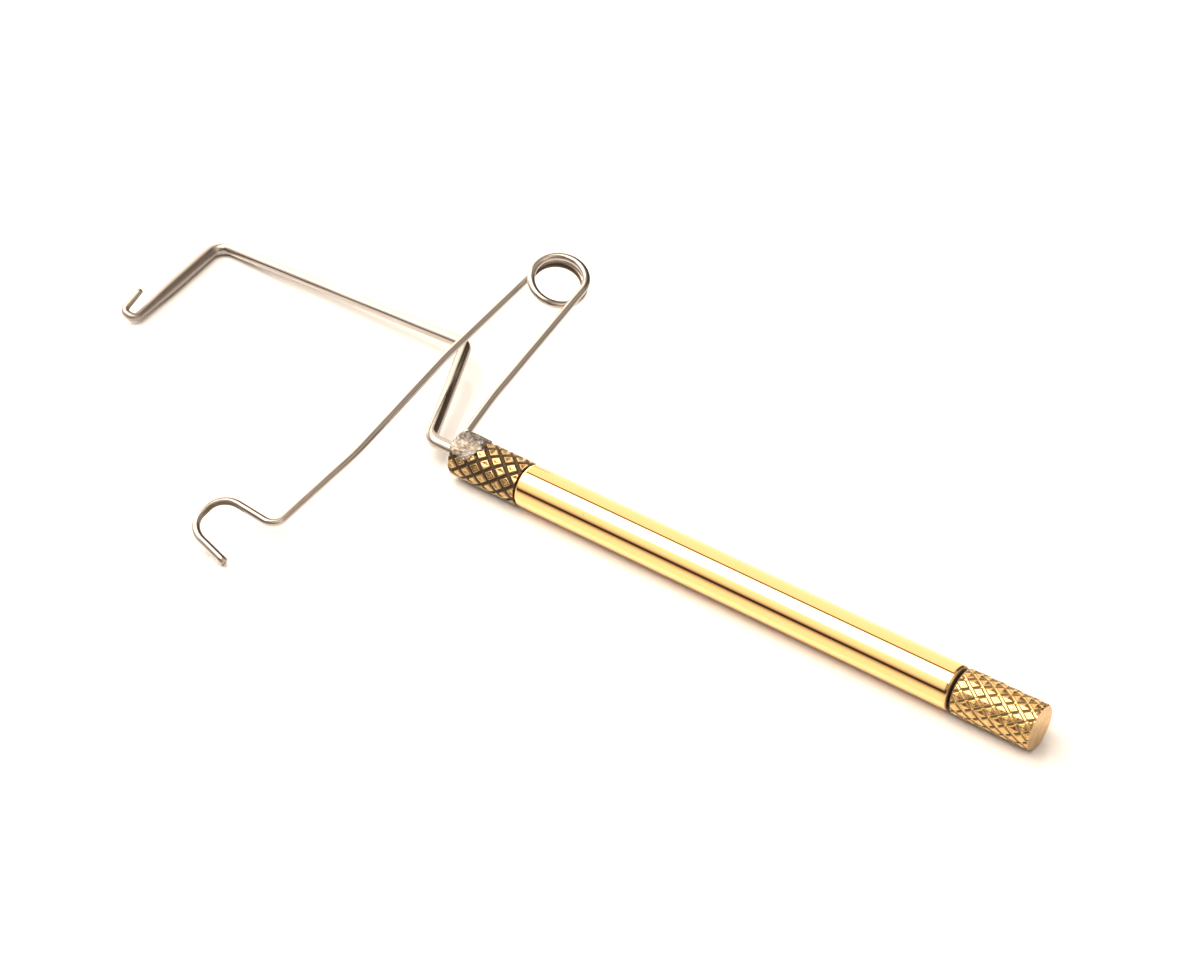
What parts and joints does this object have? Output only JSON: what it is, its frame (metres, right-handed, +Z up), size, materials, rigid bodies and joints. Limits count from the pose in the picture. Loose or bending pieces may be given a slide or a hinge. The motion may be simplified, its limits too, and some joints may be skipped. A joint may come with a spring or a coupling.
{
  "type": "whip finish tool",
  "caption": "Fly-tying whip finish tool: knurled brass handle with a turning sleeve, a fixed wire hook and a sprung wire hook, for tying off thread.",
  "frame": {"origin": "centre of the handle's flat butt face", "axes": "+X along the handle towards the hooks, +Z up with the tool lying on its side as in the picture"},
  "size_m": [0.1587, 0.0722, 0.0145],
  "materials": {
    "aged_brass": "knurled, aged and dark in the grooves",
    "worn_brass": "knurled, worn on the crests, flat butt face",
    "polished_brass": "polished",
    "bright_steel": "bright wire, brushed near the hook",
    "spring_steel": "drawn spring wire with fine streaks along it",
    "grey_solder": "dull, frosty solder"
  },
  "bodies": {
    "frame": {"head_spindle": "aged_brass", "rear_knob": "worn_brass", "hook_arm": "bright_steel", "spring_leg": "spring_steel", "spring_coil": "spring_steel", "solder_joint": "grey_solder"},
    "sleeve": {"grip_sleeve": "polished_brass"},
    "sprung_hook": {"spring_arm": "spring_steel"}
  },
  "joints": [
    {"name": "sleeve_spin", "type": "hinge", "parent": "frame", "child": "sleeve", "pos_m": [0.04665, 0, 0], "axis": [1, 0, 0], "continuous": true},
    {"name": "spring_flex", "type": "hinge", "parent": "frame", "child": "sprung_hook", "pos_m": [0.10002, -0.03189, 0.00864], "axis": [-0.3246, 0.1666, 0.931], "range_deg": [-30, 0], "stiffness_Nm_per_rad": 0.3, "deforming": ["spring_coil"]}
  ]
}
